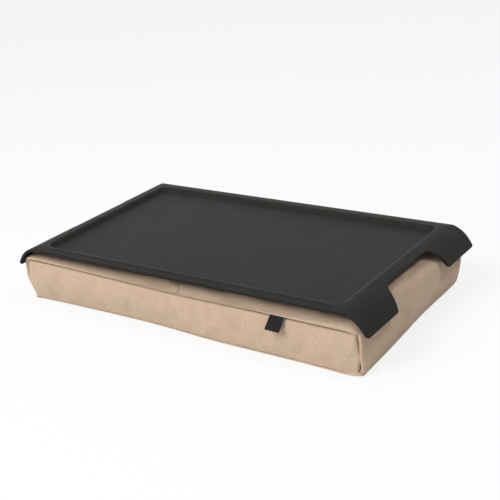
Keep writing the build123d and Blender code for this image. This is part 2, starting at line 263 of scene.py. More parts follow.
# Padding: how far the lining and the beads stand inside the cushion's form, in x, y and z
LINING_INSET = (4.4, 4.4, 1.6)
BEADS_INSET = (5.3, 5.3, 2.3)

# Label: a folded ribbon that leans out from the seam. What lies under LABEL_BACK_PLY is its back ply.
LABEL_WIDTH = 15.0
LABEL_REACH = 15.0
LABEL_HALF_FOLD = 0.62
LABEL_ROOT_SHARE = 0.45
LABEL_SKEW = 1.8
LABEL_SHIFT = 0.2
LABEL_THICKNESS = 0.35
LABEL_CURL = 0.35
LABEL_CURL_TURN = 2.2
LABEL_ROOT = np.array((0.0, -110.2, 43.9))
LABEL_LEAN = math.radians(45)
LABEL_COLUMNS = (0, 0.07, 0.2, 0.4, 0.6, 0.8, 0.93, 1)
LABEL_PLY_POINTS = 12
LABEL_FOLD_POINTS = 11
LABEL_BACK_PLY = -0.2
LABEL_EDGE_SHARE = 0.93

# Stitches along the zip. STITCH_END is the least share of their section that is left at their ends.
STITCH_LENGTH = 3.0
STITCH_RADIUS = 0.28
STITCH_PITCH = 4.2
STITCH_FROM_ZIP = 2.6
STITCH_PLANE = 111.2
STITCH_SIDES = 6
STITCH_DIP = 0.35
STITCH_PLACES = (-1, -0.85, -0.4, 0.4, 0.85, 1)
STITCH_END = 0.05

# Crest round the tray's recess: half its sizes in plan, its corner radius and how wide the painted highlight
# along it is
RECESS_HALF = (183.4, 104.4)
RECESS_RADIUS = 11.0
CREST_HIGHLIGHT_WIDTH = 1.3

# Seeds of the noise, and the factors that mix its lattice
COARSE_SEED, FINE_SEED, TOP_SEED, BASE_SEED = 3, 9, 21, 5
MIX_X, MIX_Y, MIX_Z, MIX_SEED, MIX_AGAIN = 374761393, 668265263, 1274126177, 144664169, 1103515245
WORD = 0xFFFFFFFF
HALF_WORD = 0xFFFF


# Curves and noise
def smooth_curve(table, at):
    """A smooth curve through a table of places and values, each value a number or an array."""
    xs, ys = np.asarray(table[0], float), np.asarray(table[1], float)
    at = np.clip(np.asarray(at, float), xs[0], xs[-1])
    slopes = np.gradient(ys, xs, axis=0)
    k = np.clip(np.searchsorted(xs, at, side="right") - 1, 0, len(xs) - 2)
    shape = at.shape + (1,) * (ys.ndim - 1)
    span = (xs[k + 1] - xs[k]).reshape(shape)
    t = (at - xs[k]).reshape(shape) / span
    rise = ys[k + 1] - ys[k]
    low, high = np.minimum(0, 3 * rise), np.maximum(0, 3 * rise)
    start = np.clip(slopes[k] * span, low, high)
    end = np.clip(slopes[k + 1] * span, low, high)
    return (
        ys[k] * (2 * t ** 3 - 3 * t ** 2 + 1)
        + ys[k + 1] * (3 * t ** 2 - 2 * t ** 3)
        + start * (t ** 3 - 2 * t ** 2 + t)
        + end * (t ** 3 - t ** 2)
    )


def resampled(grid, from_places, to_places):
    """A grid of values read smoothly at other places along both of its directions."""
    rows = smooth_curve((from_places[0], grid), to_places[0])
    columns = smooth_curve((from_places[1], np.swapaxes(rows, 0, 1)), to_places[1])
    return np.swapaxes(columns, 0, 1)


def graded(length, step, extra=()):
    """Places from 0 to 1 along a length, close together near both ends, with some more of them between."""
    fine = np.array(BORDER_PLACES)
    middle = length - 2 * fine[-1]
    count = max(2, int(round(middle / step)))
    inner = fine[-1] + middle * np.arange(1, count) / count
    places = np.concatenate([fine, inner, (length - fine)[::-1]]) / length
    extra = np.array(extra)
    if len(extra):
        far = np.abs(places[:, None] - extra[None]).min(1) > SAME_PLACE / length
        places = np.sort(np.concatenate([places[far], extra]))
    return places


def even(length, step):
    """Places from 0 to 1 along a length, all the same step apart."""
    return np.linspace(0, 1, int(round(length / step)) + 1)


def arc_inset(depth, radius):
    """How far a quarter round stands in at a depth from its end."""
    short = np.clip((radius - depth) / radius, 0, 1)
    return radius * (1 - np.sqrt(1 - short ** 2))


def bump_at(place, centre, spread):
    """A soft bump that is 1 at its centre."""
    return np.exp(-(((place - centre) / spread) ** 2))


def hash_noise(x, y, z, seed):
    """Smooth value noise from -1 to 1."""
    def lattice(i, j, k):
        n = (i * MIX_X + j * MIX_Y + k * MIX_Z + seed * MIX_SEED) & WORD
        n = ((n ^ (n >> 13)) * MIX_AGAIN) & WORD
        return ((n ^ (n >> 16)) & HALF_WORD) / (HALF_WORD / 2) - 1

    cells = [np.floor(v).astype(np.int64) for v in (x, y, z)]
    parts = [v - c for v, c in zip((x, y, z), cells)]
    a, b, c = [p * p * (3 - 2 * p) for p in parts]
    i, j, k = cells
    total = 0
    for di in (0, 1):
        for dj in (0, 1):
            for dk in (0, 1):
                weight = (a if di else 1 - a) * (b if dj else 1 - b) * (c if dk else 1 - c)
                total = total + weight * lattice(i + di, j + dj, k + dk)
    return total


# The cushion's form
def side_offset(side, s, z):
    """How far in from its plan line a side of the cushion stands, at a place along it and a height."""
    below = np.clip((TUCK_HEIGHT - z) / TUCK_HEIGHT, 0, 1)
    tuck = smooth_curve(BASE_TUCK[side], s) * below ** TUCK_POWER
    return arc_inset(z, smooth_curve(BASE_ROUNDING[side], s)) + tuck


def side_surface(side, s, t):
    """Points of one side before its seams are drawn in, and the way each faces.

    They come with their distances to the base, the top, the first corner's seam and the last corner's.
    s runs along the side and t up it.
    """
    s, t = np.broadcast_arrays(np.asarray(s, float), np.asarray(t, float))
    first, last = CORNERS[side], CORNERS[(side + 1) % 4]
    before, after = (side - 1) % 4, (side + 1) % 4
    along = (last - first) / np.linalg.norm(last - first)
    inward = np.array((-along[1], along[0]))
    low, high = smooth_curve(BASE_EDGE[side], s), smooth_curve(TOP_EDGE[side], s)
    z = low + (high - low) * t
    zero, one = np.zeros_like(s), np.ones_like(s)

    # Where the side starts and ends at this height, before its corners are rounded
    start = side_offset(before, one, z)
    end = side_offset(after, zero, z)
    own_start, own_end = side_offset(side, zero, z), side_offset(side, one, z)
    length = np.linalg.norm(last - first) - start - end
    share = z / high
    round_a = smooth_curve(CORNER_ROUNDING[side], share)
    round_b = smooth_curve(CORNER_ROUNDING[after], share)
    angle_a = np.radians(90 - smooth_curve(CORNER_SEAM_ANGLE[side], share))
    angle_b = np.radians(smooth_curve(CORNER_SEAM_ANGLE[after], share))
    edge_a = round_a * (1 - np.sin(angle_a))
    edge_b = round_b * (1 - np.sin(angle_b))
    d = edge_a + s * (length - edge_a - edge_b)
    from_end = length - d
    line = own_start + (own_end - own_start) * d / length
    own = side_offset(side, s, z)
    arch = np.sin(math.pi * s)
    fullness = SIDE_FULLNESS[side] * np.sin(math.pi * t) * arch ** FULLNESS_POWER
    draw_share = DRAW_AT_HALF_HEIGHT + (1 - DRAW_AT_HALF_HEIGHT) * np.abs(2 * t - 1)
    draw = SIDE_DRAW[side] * arch * draw_share
    inset = arc_inset(d, round_a) + arc_inset(from_end, round_b)
    offset = line + (own - line) * np.minimum(1, SIDE_EASE * s * (1 - s)) - fullness + draw + inset
    flat = first + along * (start + d)[..., None] + inward * offset[..., None]

    # The way it faces in plan, turned round the corners
    turn = np.clip((round_a - d) / round_a, 0, 1) - np.clip((round_b - from_end) / round_b, 0, 1)
    cosine = np.sqrt(np.maximum(0, 1 - turn ** 2))
    facing = -(inward * cosine[..., None] + along * turn[..., None])
    points = np.concatenate([flat, z[..., None]], -1)
    facing = np.concatenate([facing, zero[..., None]], -1)
    distances = (high - low) * t, (high - low) * (1 - t), d - edge_a, from_end - edge_b
    return points, facing, *[np.maximum(distance, 0) for distance in distances]


def corner_depth(corner, t):
    """How deep the seam at a corner lies, at a share of its height."""
    depth = SEAM_DEPTH + 0 * t
    for centre, spread, more in CORNER_GAPES[corner % 4]:
        depth = depth + more * bump_at(t, centre, spread) * np.minimum(1, GAPE_EASE * t * (1 - t))
    return depth


def panel_dip(distance, depth):
    """How far an inset panel is drawn in beside its seam."""
    steep = (depth - PANEL_HOLLOW) * np.exp(-((distance / PANEL_DIP_REACH) ** DIP_POWER))
    return steep + PANEL_HOLLOW * bump_at(distance, 0, PANEL_HOLLOW_REACH)


def wrap_dip(distance, depth):
    """How far the wrap is drawn in beside a corner's seam. Beside that its edge stands proud as a roll."""
    over_seam = bump_at(0, WRAP_ROLL_PLACE, WRAP_ROLL_SPREAD)
    fade = np.clip((WRAP_ROLL_END - distance) / WRAP_ROLL_FADE, 0, 1)
    roll = WRAP_ROLL_HEIGHT * (bump_at(distance, WRAP_ROLL_PLACE, WRAP_ROLL_SPREAD) - over_seam) * fade
    return depth * np.exp(-((distance / WRAP_DIP_REACH) ** DIP_POWER)) - np.maximum(roll, 0)


def past_seam(distance):
    """0 on the wrap's edge at a seam, and 1 a little further on."""
    return 1 - np.exp(-((distance / WRAP_EDGE_REACH) ** DIP_POWER))


def dents_at(x, y, z, dents, seed):
    """Soft dents of one size in a side's face."""
    height, span, rise = dents
    return height * hash_noise(x / span, y / span, z / rise, seed)


def fold_relief(folds, along, z):
    """Height of the soft folds in a side's face, at places along it and above the floor."""
    total = 0 * along
    for start, low, end, high, width, height in folds:
        run, rise = end - start, high - low
        share = np.clip(((along - start) * run + (z - low) * rise) / (run ** 2 + rise ** 2), 0, 1)
        off = np.hypot(along - start - share * run, z - low - share * rise)
        total = total + height * bump_at(off, 0, width)
    return total


def side_panel(side, across, up, seams):
    """A side's points, drawn in at its seams, with soft dents in its face. Without seams it is plain."""
    points, facing, to_base, to_top, to_first, to_last = side_surface(side, across[:, None], up[None, :])
    if not seams:
        return points, facing
    x, y, z = np.moveaxis(points, -1, 0)
    t = np.broadcast_to(up[None, :], x.shape)
    corners = (to_first, corner_depth(side, t)), (to_last, corner_depth(side + 1, t))
    if side in (FRONT, BACK):
        lines = ((to_top, SEAM_DEPTH), (to_base, BASE_SEAM_DEPTH)) + corners
        pull = np.maximum.reduce([panel_dip(distance, depth) for distance, depth in lines])
    else:
        first_dip, last_dip = [wrap_dip(distance, depth) for distance, depth in corners]
        pull = np.where(to_first < to_last, first_dip, last_dip)
    calm = np.clip(np.minimum.reduce([to_base, to_top, to_first, to_last]) / DENT_FADE, 0, 1)
    dents = dents_at(x, y, z, COARSE_DENTS, side + COARSE_SEED)
    dents = dents + dents_at(x, y, z, FINE_DENTS, side + FINE_SEED)
    if side == FRONT:
        dents = dents + fold_relief(FRONT_FOLDS, x, z)
    if side == RIGHT:
        dents = dents + fold_relief(RIGHT_FOLDS, y, z)
    if side == BACK:
        beyond_x = np.maximum.reduce([ZIP_LOW.x - x, x - ZIP_HIGH.x, 0 * x])
        beyond_z = np.maximum.reduce([ZIP_LOW.z - z, z - ZIP_HIGH.z, 0 * z])
        away = np.hypot(beyond_x, beyond_z)
        calm = calm * np.clip(away / ZIP_CALM, 0, 1)
        pull = pull + ZIP_HEM * np.exp(-(away / ZIP_HEM_REACH))
    return points - facing * (pull - calm * dents)[..., None], facing


def coons(front, right, back, left, u, v):
    """A grid of points whose border is four given lines that meet at the corners."""
    u, v = u[:, None, None], v[None, :, None]
    far, near_left = back[::-1], left[::-1]
    ruled = (1 - v) * front[:, None] + v * far[:, None] + (1 - u) * near_left[None] + u * right[None]
    corner = (
        (1 - u) * (1 - v) * front[0]
        + u * (1 - v) * front[-1]
        + u * v * far[-1]
        + (1 - u) * v * far[0]
    )
    return ruled - corner


def border_distances(grid):
    """How far each point of a flat panel lies in plan from its front or back line, and from its ends."""
    def to_line(line):
        return np.linalg.norm(grid[..., :2] - line[..., :2], axis=-1)

    across = np.minimum(to_line(grid[:, :1]), to_line(grid[:, -1:]))
    lengthways = np.minimum(to_line(grid[:1]), to_line(grid[-1:]))
    return across, lengthways


def rounded_distance(across, lengthways):
    """The distance to the nearer border, rounded at the corners."""
    soft = CORNER_SOFTNESS
    both = np.clip((soft - lengthways) / soft, 0, 1) ** 2 + np.clip((soft - across) / soft, 0, 1) ** 2
    inside = np.maximum(soft * (1 - np.sqrt(both)), 0)
    return np.where((lengthways < soft) & (across < soft), inside, np.minimum(lengthways, across))


def top_panel(sides, u, v, seams):
    """The top, which rolls up from the seams and the ends to the flat that meets the tapes."""
    grid = coons(*[side[0][:, -1] for side in sides], u, v)
    out = coons(*[side[1][:, -1] for side in sides], u, v)
    across, lengthways = border_distances(grid)
    away = rounded_distance(across, lengthways)
    endwise = np.clip((across - lengthways) / ROLL_BLEND + 0.5, 0, 1)
    share = np.clip(away / TOP_ROLL, 0, 1)
    turn = share * math.pi / 2
    x, y = grid[..., 0], grid[..., 1]
    short = 1 - np.clip(away / END_ROLL, 0, 1)
    end_rise = np.where(x > 0, np.sqrt(1 - short ** RIGHT_END_POWER), 1 - short ** LEFT_END_POWER)
    rise = np.sin(turn) * (1 - endwise) + end_rise * endwise
    fuller = (TOP_ROLL * (share - 1 + np.cos(turn)) + TOP_FULLNESS * np.sin(2 * turn)) * (1 - endwise)
    dip = TOP_DENT * hash_noise(x / TOP_DENT_SPAN, y / TOP_DENT_SPAN, 0 * x, TOP_SEED) - TOP_DENT
    free_x = np.clip((np.abs(x - MIDDLE) - PRESSED_HALF[0]) / PRESSED_FADE[0], 0, 1)
    free_y = np.clip((np.abs(y) - PRESSED_HALF[1]) / PRESSED_FADE[1], 0, 1)
    free = np.minimum(free_y + free_x, 1)
    level = TOP_LEVEL + free * (dip + FREE_RISE) + (1 - free) * PRESSED_DENT_SHARE * dip
    points = grid.copy()
    points[..., 2] = grid[..., 2] + (level - grid[..., 2]) * rise
    if seams:
        fade = np.clip(1 - across / EDGE_FADE, 0, 1)
        back_out = SEAM_DEPTH * past_seam(across) * (fade * np.clip(lengthways / END_FADE, 0, 1))
        points += out * (back_out + fuller)[..., None]
        curve = CREASE_X + CREASE_BEND * across ** 2
        crease = CREASE_DEPTH * bump_at(x, curve, CREASE_WIDTH) * fade * (y < 0)
        lift = np.stack([0 * x, CREASE_SLANT * crease, -CREASE_SLANT * crease], -1)
        points += lift * np.clip(across / CREASE_START, 0, 1)[..., None]
    return points


def base_panel(sides, u, v, seams):
    """The underside: rolls in from its edges and lies flat. It bulges out below the front right corner."""
    grid = coons(*[side[0][:, 0] for side in sides], u, v)
    out = coons(*[side[1][:, 0] for side in sides], u, v)
    across, lengthways = border_distances(grid)
    away = rounded_distance(across, lengthways)
    x, y, z = np.moveaxis(grid, -1, 0)
    bulge = bump_at(x, CORNERS[RIGHT][0], FOOT_BULGE_SPREAD) * (y < 0)
    roll = BASE_ROLL - FOOT_ROLL_LOSS * bulge
    points = grid.copy()
    if seams:
        push = bulge * FOOT_BULGE * past_seam(across) * np.clip(1 - across / FOOT_BULGE_REACH, 0, 1)
        points += out * push[..., None]
    waves = 1 + hash_noise(x / BASE_RIPPLE_SPAN, y / BASE_RIPPLE_SPAN, 0 * away, BASE_SEED)
    ripple = BASE_RIPPLE * waves * np.clip(away / BASE_RIPPLE_FADE, 0, 1)
    points[..., 2] = z * (1 - np.clip(away / roll, 0, 1)) ** BASE_ROLL_POWER + ripple
    return points


def cover_grids(u, v, up, seams):
    """The six faces of the cushion as grids of points, with the places that they are taken at."""
    places = (u, v, 1 - u[::-1], 1 - v[::-1])
    names = ("front", "right", "back", "left")
    sides = [side_panel(side, places[side], up, seams) for side in (FRONT, RIGHT, BACK, LEFT)]
    grids = {name: (side[0], (place, up)) for name, side, place in zip(names, sides, places)}
    grids["top"] = top_panel(sides, u, v, seams), (u, v)
    grids["base"] = base_panel(sides, u, v, seams), (u, v)
    return grids


# Meshes and cloth
def grid_mesh(name, grids, left_out=None):
    """One mesh from some grids of points in millimetres, welded where their borders meet.

    A grid named base faces down. left_out marks the quads of a single grid that stay away.
    """
    vertices, faces, count = [], [], 0
    for face, points in grids.items():
        rows, columns = points.shape[:2]
        index = np.arange(rows * columns).reshape(rows, columns) + count
        quads = np.stack([index[:-1, :-1], index[1:, :-1], index[1:, 1:], index[:-1, 1:]], -1)
        if face == "base":
            quads = quads[..., ::-1]
        quads = quads.reshape(-1, 4) if left_out is None else quads[~left_out]
        vertices.append(points.reshape(-1, 3) * MM)
        faces.append(quads)
        count += rows * columns
    mesh = bpy.data.meshes.new(name)
    mesh.from_pydata(np.concatenate(vertices).tolist(), [], np.concatenate(faces).tolist())
    work = bmesh.new()
    work.from_mesh(mesh)
    bmesh.ops.remove_doubles(work, verts=work.verts, dist=WELD_DISTANCE * MM)
    bmesh.ops.delete(work, geom=[v for v in work.verts if not v.link_faces], context="VERTS")
    work.to_mesh(mesh)
    work.free()
    mesh.polygons.foreach_set("use_smooth", [True] * len(mesh.polygons))
    mesh.update()
    piece = bpy.data.objects.new(name, mesh)
    bpy.context.scene.collection.objects.link(piece)
    return piece


def positions(mesh):
    """The places of a mesh's points, in metres."""
    flat = np.empty(len(mesh.vertices) * 3)
    mesh.vertices.foreach_get("co", flat)
    return flat.reshape(-1, 3)


def apply_modifiers(piece):
    """Turns a piece's modifiers into plain mesh."""
    bpy.context.view_layer.update()
    result = bpy.data.meshes.new_from_object(piece.evaluated_get(bpy.context.evaluated_depsgraph_get()))
    old = piece.data
    piece.modifiers.clear()
    piece.data = result
    bpy.data.meshes.remove(old)


def thicken(piece, thickness):
    """Gives a sheet its thickness, inwards."""
    modifier = piece.modifiers.new("thickness", "SOLIDIFY")
    modifier.thickness = thickness * MM
    modifier.offset = -1
    modifier.use_even_offset = False
    apply_modifiers(piece)


def subdivide(piece):
    """Rounds a piece's mesh off by one finer level."""
    modifier = piece.modifiers.new("smooth", "SUBSURF")
    modifier.levels = 1
    modifier.render_levels = 1
    apply_modifiers(piece)


def held_points(points):
    """Which points of the plain form stay still: under the tray, on the floor, and beside the zip."""
    x, y, z = points.T
    inner = (np.abs(x - MIDDLE) < HELD_HALF[0]) & (np.abs(y) < HELD_HALF[1])
    under_tray = inner & (z > TOP_LEVEL - HELD_BELOW_TOP)
    on_floor = z < HELD_FOOT
    along_zip = (x > ZIP_LOW.x - ZIP_MARGIN[0]) & (x < ZIP_HIGH.x + ZIP_MARGIN[0])
    level_with_zip = (z > ZIP_LOW.z - ZIP_MARGIN[1]) & (z < ZIP_HIGH.z + ZIP_MARGIN[1])
    return under_tray | on_floor | ((y > HELD_BACK) & along_zip & level_with_zip)


def swell(bag, held):
    """Blows a closed bag up as cloth and returns where its points end."""
    group = bag.vertex_groups.new(name="held")
    group.add(np.flatnonzero(held).tolist(), 1.0, "REPLACE")
    modifier = bag.modifiers.new("cloth", "CLOTH")
    cloth = modifier.settings
    cloth.quality = 7
    cloth.mass = 0.3
    cloth.tension_stiffness = 25
    cloth.compression_stiffness = 25
    cloth.shear_stiffness = 12
    cloth.bending_stiffness = 0.8
    cloth.use_pressure = True
    cloth.uniform_pressure_force = 4
    cloth.shrink_min = -0.012
    cloth.vertex_group_mass = "held"
    cloth.pin_stiffness = 1.0
    cloth.effector_weights.gravity = 0
    modifier.collision_settings.use_collision = False
    modifier.point_cache.frame_start = 1
    modifier.point_cache.frame_end = CLOTH_FRAMES
    scene = bpy.context.scene
    for number in range(1, CLOTH_FRAMES + 1):
        scene.frame_set(number)
    moved = positions(bag.evaluated_get(bpy.context.evaluated_depsgraph_get()).data) / MM
    bag.modifiers.clear()
    scene.frame_set(1)
    return moved


def seam_points(plain):
    """The points that lie on the front and back panels' seams."""
    lines = []
    for name in ("front", "back"):
        grid = plain[name][0]
        lines += [grid[0], grid[-1], grid[:, 0], grid[:, -1]]
    return np.concatenate(lines)


def swollen_form():
    """The plain closed form and how far each point of its six faces moves when it swells."""
    u, v, up = even(LENGTH, CLOTH_STEP), even(DEPTH, CLOTH_STEP), even(HEIGHT, CLOTH_STEP)
    plain = cover_grids(u, v, up, seams=False)
    bag = grid_mesh("lining_bag", {name: grid[0] for name, grid in plain.items()})
    start = positions(bag.data) / MM
    tree = kdtree.KDTree(len(start))
    for index, point in enumerate(start):
        tree.insert(point, index)
    tree.balance()
    move = np.zeros_like(start)
    held = held_points(start)
    held[[tree.find(point)[1] for point in seam_points(plain)]] = True
    move = swell(bag, held) - start
    reach = np.linalg.norm(move, axis=1)
    move *= (SWELL_LIMIT / np.maximum(reach, SWELL_LIMIT))[:, None]
    fields = {}
    for name, (grid, places) in plain.items():
        index = np.array([tree.find(point)[1] for point in grid.reshape(-1, 3)])
        fields[name] = move[index].reshape(grid.shape), places
    return bag, start + move, fields


def with_allowance(grid, inward):
    """A panel's grid with a narrow seam allowance that runs on under the wrap along all four sides."""
    for axis in (0, 1):
        grid = np.swapaxes(grid, 0, axis)
        added = []
        for border, inner in ((grid[0], grid[1]), (grid[-1], grid[-2])):
            run = border - inner
            run /= np.linalg.norm(run, axis=-1, keepdims=True)
            added.append((border + ALLOWANCE_RUN * run + ALLOWANCE_DEPTH * np.array((0, inward, 0)))[None])
        grid = np.swapaxes(np.concatenate([added[0], grid, added[1]]), 0, axis)
    return grid


def keep_above_floor(piece):
    """Lifts the points that the cloth's thickness brought too near the floor."""
    points = positions(piece.data)
    points[:, 2] = np.maximum(points[:, 2], CLOTH_CLEARANCE * MM)
    piece.data.vertices.foreach_set("co", points.ravel())
    piece.data.update()


def build_cover():
    """The wrap and the two panels let into it, after the form has swollen as cloth."""
    left = CORNERS[0][0]
    zip_across = [(x - left - BACK_INSET) / (LENGTH - 2 * BACK_INSET) for x in (ZIP_LOW.x, ZIP_HIGH.x)]
    crease_across = [(CREASE_X - left + shift) / LENGTH for shift in CREASE_COLUMNS]
    u = graded(LENGTH, COLUMN_STEP, [*zip_across, *crease_across])
    v = graded(DEPTH, COLUMN_STEP)
    zip_up = [(z - BACK_FOOT) / (BACK_TOP - BACK_FOOT) for z in (ZIP_LOW.z, ZIP_HIGH.z)]
    beside_zip = [place for step in ZIP_ROWS for place in (zip_up[0] - step, zip_up[1] + step)]
    up = graded(HEIGHT, ROW_STEP, [*zip_up, *beside_zip])
    bag, bag_points, fields = swollen_form()
    fine = cover_grids(u, v, up, seams=True)
    grids = {}
    for name, (points, places) in fine.items():
        field, coarse_places = fields[name]
        grids[name] = points + resampled(field, coarse_places, places)
        grids[name][..., 2] = np.maximum(grids[name][..., 2], FORM_CLEARANCE)
    from_right = [1 - place for place in reversed(zip_across)]
    in_zip = np.outer(places_between(1 - u[::-1], from_right), places_between(up, zip_up))
    wrap = {name: grids[name] for name in ("top", "right", "base", "left")}
    front = {"front": with_allowance(grids["front"], inward=1)}
    back = {"back": with_allowance(grids["back"], inward=-1)}
    pieces = {
        "cover_wrap": grid_mesh("cushion_wrap", wrap),
        "cover_front_panel": grid_mesh("cushion_front_panel", front),
        "cover_back_panel": grid_mesh("cushion_back_panel", back, np.pad(in_zip, 1)),
    }
    return pieces, bag, bag_points


def places_between(places, span):
    """Which steps between neighbouring places lie inside a span."""
    middle = (places[1:] + places[:-1]) / 2
    return (middle > span[0]) & (middle < span[1])


def dress(piece, node, slot):
    """Lets a piece on the cushion stand for a node, and gives it that node's material unless it has one."""
    if not piece.data.materials:
        piece.data.materials.append(MATERIALS[slot])
    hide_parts(node)
    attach(piece, "cushion")


def filled_bag(piece, points, inset, node, slot):
    """A closed padded form: the cushion's own, moved in from its surface by an inset for x, y and z."""
    mesh = piece.data
    mesh.vertices.foreach_set("co", (points * MM).ravel())
    mesh.update()
    normals = np.array([vertex.normal[:] for vertex in mesh.vertices])
    mesh.vertices.foreach_set("co", ((points - normals * np.array(inset)) * MM).ravel())
    mesh.update()
    subdivide(piece)
    dress(piece, node, slot)


# Materials, sky, lamps, floor and camera
class Shading:
    """The nodes of a material or of the world, added and linked by name."""

    def __init__(self, tree):
        self.tree = tree

    def feed(self, socket, value):
        """Gives a socket a value, or links it to another node's socket."""
        if isinstance(value, bpy.types.NodeSocket):
            self.tree.links.new(value, socket)
        else:
            socket.default_value = value

    def add(self, kind, inputs=None, **settings):
        """A new node of a kind, with its settings and inputs."""
        node = self.tree.nodes.new(kind)
        for key, value in settings.items():
            setattr(node, key, value)
        for key, value in (inputs or {}).items():
            self.feed(node.inputs[key], value)
        return node

    def math(self, operation, *values):
        """The outcome of a sum, product or other operation on values or sockets."""
        return self.add("ShaderNodeMath", dict(enumerate(values)), operation=operation).outputs[0]

    def sum(self, first, *others):
        for value in others:
            first = self.math("ADD", first, value)
        return first

    def scaled(self, value, factor):
        return self.math("MULTIPLY", value, factor)

    def remap(self, value, low, high, to_low=0.0, to_high=1.0):
        """A value's share of the way from low to high, between to_low and to_high."""
        inputs = {"Value": value, "From Min": low, "From Max": high, "To Min": to_low, "To Max": to_high}
        return self.add("ShaderNodeMapRange", inputs).outputs["Result"]

    def mix(self, share, a, b):
        """A colour a share of the way from a to b."""
        return self.add("ShaderNodeMix", {0: share, 6: a, 7: b}, data_type="RGBA").outputs[2]

    def place(self, scale=(1, 1, 1)):
        """Where a point lies on its piece."""
        where = self.add("ShaderNodeTexCoord").outputs["Object"]
        return self.add("ShaderNodeMapping", {"Vector": where, "Scale": scale}).outputs[0]

    def split(self, place):
        return self.add("ShaderNodeSeparateXYZ", {0: place}).outputs

    def noise(self, scale, detail=2.0, roughness=0.5, vector=None, distortion=0.0):
        inputs = {"Vector": vector or self.place(), "Scale": scale, "Detail": detail}
        inputs.update({"Roughness": roughness, "Distortion": distortion})
        return self.add("ShaderNodeTexNoise", inputs).outputs["Fac"]

    def cells(self, scale):
        return self.add("ShaderNodeTexVoronoi", {"Vector": self.place(), "Scale": scale}).outputs["Distance"]

    def seen_directly(self):
        """1 for camera rays and rays that are mirrored or passed on, and 0 for the light on the object."""
        path = self.add("ShaderNodeLightPath").outputs
        mirrored = self.math("MAXIMUM", path["Is Camera Ray"], path["Is Glossy Ray"])
        return self.math("MAXIMUM", mirrored, path["Is Transmission Ray"])


class Surface(Shading):
    """A material with one shader."""

    def __init__(self, name):
        self.material = bpy.data.materials.new(name)
        self.material.use_nodes = True
        super().__init__(self.material.node_tree)
        self.shader = self.tree.nodes["Principled BSDF"]

    def set(self, **values):
        for key, value in values.items():
            self.feed(self.shader.inputs[key.replace("_", " ")], value)

    def bump(self, height, distance, strength):
        inputs = {"Height": height, "Distance": distance, "Strength": strength}
        self.set(Normal=self.add("ShaderNodeBump", inputs).outputs["Normal"])


def rgb(r, g, b):
    """A display colour as a linear one."""
    return tuple(((v / 255 + 0.055) / 1.055) ** 2.4 for v in (r, g, b)) + (1,)


def darker(colour, share):
    """A linear colour brought down to a share of its light."""
    return tuple(share * value for value in colour[:3]) + (1,)


# Colours
WHITE = (1, 1, 1, 1)
TRAY_DARK = (0.0158, 0.0155, 0.0149, 1)
TRAY_LIGHT = (0.0193, 0.0188, 0.0179, 1)
TRAY_SPECK = (0.030, 0.028, 0.0255, 1)
# Painted highlight: the brown line along the crest round the tray's recess, where its edge catches the light
TRAY_CREST_HIGHLIGHT = (0.066, 0.053, 0.044, 1)
TRAY_GLOSS_TINT = (1.0, 0.94, 0.86, 1)
SUEDE_DARK = rgb(186, 160, 136)
SUEDE_LIGHT = rgb(215, 193, 169)
SUEDE_PINKISH = rgb(206, 176, 154)
# Painted shade that darkens the cloth deep in its seams
SUEDE_PAINTED_SHADE = rgb(74, 56, 44)
SUEDE_SHEEN = (1.0, 0.9, 0.8, 1)
RIBBON = rgb(38, 37, 37)
RIBBON_EDGE = rgb(150, 148, 146)
LINING = rgb(232, 228, 220)
BEAD_FACE = (0.86, 0.86, 0.84, 1)
# Painted shade towards the rim of each bead and in the gaps between beads
BEAD_GAP_SHADE = (0.6, 0.6, 0.58, 1)
HOOK_TAPE = rgb(48, 47, 46)
LOOP_TAPE = rgb(58, 56, 55)
ZIP_TAPE = rgb(176, 150, 127)
ZIP_NYLON = rgb(150, 126, 103), rgb(176, 150, 126)
ZIP_LACQUER = rgb(120, 96, 72), rgb(138, 112, 86)


def recess_crest(s):
    """How far a point of the tray lies in plan from the crest round its recess."""
    place = s.split(s.place())
    beyond = []
    for axis, half in zip(("X", "Y"), RECESS_HALF):
        beyond.append(s.math("SUBTRACT", s.math("ABSOLUTE", place[axis]), (half - RECESS_RADIUS) * MM))
    outside = [s.math("MAXIMUM", value, 0.0) for value in beyond]
    round_part = s.math("SQRT", s.sum(*[s.math("MULTIPLY", value, value) for value in outside]))
    inside = s.math("MINIMUM", s.math("MAXIMUM", *beyond), 0.0)
    return s.math("ABSOLUTE", s.sum(round_part, inside, -RECESS_RADIUS * MM))


def tray_material():
    """A dark matt coating with a fine speck, and a painted brown highlight along the crest round the recess.
    """
    s = Surface("tray_coating")
    cloud = s.remap(s.noise(38, detail=3), 0.35, 0.65)
    speck = s.remap(s.noise(900), 0.3, 0.7)
    coating = s.mix(s.scaled(speck, 0.4), s.mix(cloud, TRAY_DARK, TRAY_LIGHT), TRAY_SPECK)
    # Painted highlight: a thin brown line along the crest round the recess, standing in for the light that
    # its rounded edge catches
    crest_highlight = s.remap(recess_crest(s), 0.0, CREST_HIGHLIGHT_WIDTH * MM, to_low=0.75, to_high=0.0)
    s.set(Base_Color=s.mix(crest_highlight, coating, TRAY_CREST_HIGHLIGHT), Roughness=s.sum(s.scaled(speck, 0.08), 0.46))
    s.shader.inputs["Specular IOR Level"].default_value = 0.07
    s.shader.inputs["Specular Tint"].default_value = TRAY_GLOSS_TINT
    grain = s.sum(s.noise(1500), s.scaled(s.noise(420, detail=1), 0.5))
    s.bump(grain, distance=0.12 * MM, strength=0.5)
    return s.material


